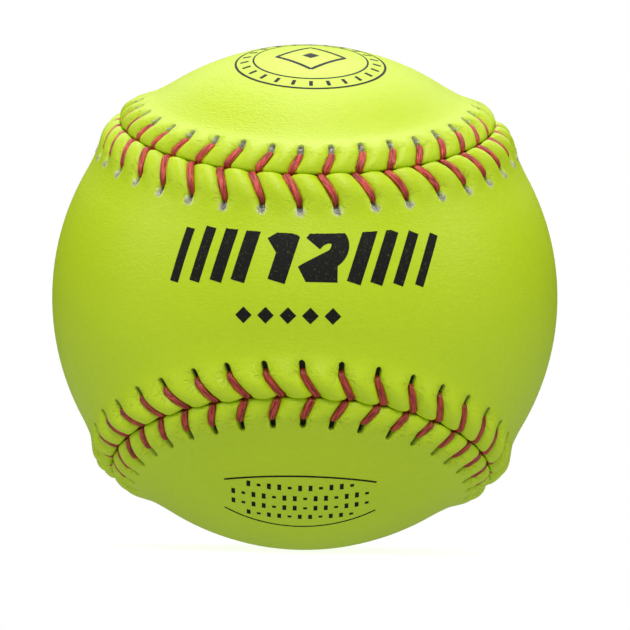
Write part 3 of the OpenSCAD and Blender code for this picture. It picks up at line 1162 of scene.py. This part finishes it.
# %% [markdown]
# ## Floor and surroundings
# The ball stands on white paper. A real white room would wash out the ball's edges, so what the
# camera sees is kept apart from what lights the ball. For the camera the paper turns plain white
# away from the ball and the surroundings are white, so no horizon shows. For the light the
# surroundings are nearly dark, and the paper glows softly and lifts the ball's lower half. What
# the leather mirrors is a dimmer paper, so its edges keep their colour.

# %% Floor
floor_half = 3.0
paper_glow = 0.61
# The paper fades to plain white between these distances from the middle of the ball, in mm
fade_start, fade_end = 45.0, 110.0
near_white = 0.6
data = bpy.data.meshes.new("floor")
floor_z = -skin_r * MM
data.from_pydata([(-floor_half, -floor_half, floor_z), (floor_half, -floor_half, floor_z),
                  (floor_half, floor_half, floor_z), (-floor_half, floor_half, floor_z)],
                 [], [(0, 1, 2, 3)])
floor = bpy.data.objects.new("floor", data)
bpy.context.collection.objects.link(floor)
paper = Finish("white_paper")
spot = paper.place()
away = paper.node("ShaderNodeVectorMath", {"operation": "LENGTH"}, {0: spot}, out="Value")
seen = paper.node("ShaderNodeLightPath", out="Is Camera Ray")
shine = paper.node("ShaderNodeLightPath", out="Is Glossy Ray")
glow = paper.node("ShaderNodeEmission", None, {"Color": (1.0, 1.0, 1.0), "Strength": 1.0})
tone = paper.mix(seen, (0.1, 0.1, 0.1), (0.93, 0.93, 0.93))
paper.finish(Base_Color=tone, Roughness=0.9, Specular_IOR_Level=0.1,
             Emission_Color=paper.mix(shine, (1.0, 1.0, 1.0), (0.3, 0.3, 0.3)),
             Emission_Strength=paper_glow)
whiteness = away.clamped(fade_start, fade_end) * (1 - near_white) + near_white
both = paper.node("ShaderNodeMixShader", None,
                  {0: seen * whiteness, 1: Wire(paper, paper.shader.outputs[0]), 2: glow})
output = paper.tree.nodes["Material Output"]
paper.plug(output.inputs["Surface"], both)
dress(floor, paper.material)

# %% Surroundings
sky_strength = 0.02
world = bpy.data.worlds.new("surroundings")
world.use_nodes = True
bpy.context.scene.world = world
background = world.node_tree.nodes["Background"]
background.inputs["Color"].default_value = (1, 1, 1, 1)


class Surroundings(Finish):
    """The same way of writing nodes, for the world."""

    def __init__(self, world):
        self.tree = world.node_tree


sky = Surroundings(world)
white_rays = sky.node("ShaderNodeLightPath", out="Is Camera Ray")
white_rays = white_rays + sky.node("ShaderNodeLightPath", out="Is Transmission Ray")
sky.plug(background.inputs["Strength"], sky_strength + white_rays * (1 - sky_strength))
print(f"surroundings: {sky_strength} for the light, 1 for the camera")

# %% [markdown]
# ## Lamps
# Round soft lamps stand at angles that are given as the ball sees them. The top lamp models the
# pillows of the seam. The sheen lamp, behind the top, lays a pale gloss on the upper lobe. The
# high lamp and a weak wide one light the waist, and two pairs light the sides and the edges. One
# big soft box would be simpler, but it would flatten the ridge. The lamps over the ball are a
# little rosy, which turns the bright leather from green towards yellow.

# %% Lamps
lamp_far = 0.8


def add_lamp(name, turn, rise, half_angle, radiance, colour=(1.0, 1.0, 1.0)):
    """A round soft lamp, placed and sized in degrees as the ball sees it."""
    size = 2 * lamp_far * math.tan(math.radians(half_angle))
    lamp = bpy.data.lights.new(name, "AREA")
    lamp.shape = "DISK"
    lamp.size = size
    lamp.color = colour
    lamp.energy = radiance * math.pi * math.pi * size ** 2 / 4
    holder = bpy.data.objects.new(name, lamp)
    bpy.context.collection.objects.link(holder)
    turn, rise = math.radians(turn), math.radians(rise)
    flat_far = lamp_far * math.cos(rise)
    holder.location = (flat_far * math.sin(turn), -flat_far * math.cos(turn),
                       lamp_far * math.sin(rise))
    holder.rotation_euler = (math.pi / 2 - rise, 0, turn)
    print(f"{name}: {lamp.energy:.2f} W")


add_lamp("top_lamp", 0, 77, 13, 6.8, (1.0, 0.84, 0.98))
add_lamp("sheen_lamp", 180, 68, 14, 5.2, (1.0, 0.85, 1.0))
add_lamp("high_lamp", 0, 40, 13, 9.2, (1.0, 0.93, 0.99))
add_lamp("soft_front_lamp", 0, 15, 32, 0.12)
for name, turn in (("left", -1), ("right", 1)):
    add_lamp(f"side_{name}_lamp", 72 * turn, 27, 12, 5.2)
    add_lamp(f"back_{name}_lamp", 147 * turn, 47, 23, 1.5)

# %% [markdown]
# ## Camera
# The camera stands 12 ball radii away, a little below the middle of the ball. The length of its
# lens could be found by trying. Here it follows from the ball's radius in the picture and from
# the angle at which so near a camera sees the edge of a ball.

# %% Camera
camera_turn = math.radians(0.8)
camera_rise = math.radians(-2.69)
camera_roll = math.radians(1.12)
camera_balls = 12.0
camera_far = camera_balls * skin_r * MM
picture_side = 630
sensor = 36.0
ball_radius_px = 252.7
ball_centre_px = (304.8, 297.3)
focal_px = ball_radius_px * math.sqrt(camera_balls ** 2 - 1)

view = bpy.data.cameras.new("photo_view")
view.sensor_width = sensor
view.lens = focal_px / picture_side * sensor
view.shift_x = (picture_side / 2 - ball_centre_px[0]) / picture_side
view.shift_y = -(picture_side / 2 - ball_centre_px[1]) / picture_side
view.clip_start = 0.01
camera = bpy.data.objects.new("photo_view", view)
bpy.context.collection.objects.link(camera)
flat_far = camera_far * math.cos(camera_rise)
camera.location = (flat_far * math.sin(camera_turn), -flat_far * math.cos(camera_turn),
                   camera_far * math.sin(camera_rise))
camera.rotation_mode = "XYZ"
camera.rotation_euler = (math.pi / 2 - camera_rise, 0, camera_turn)
camera.rotation_euler.rotate_axis("Z", camera_roll)
bpy.context.scene.camera = camera
bpy.context.scene.view_settings.view_transform = "Standard"
print(f"lens {view.lens:.1f} mm, {camera_far:.3f} m from the ball")
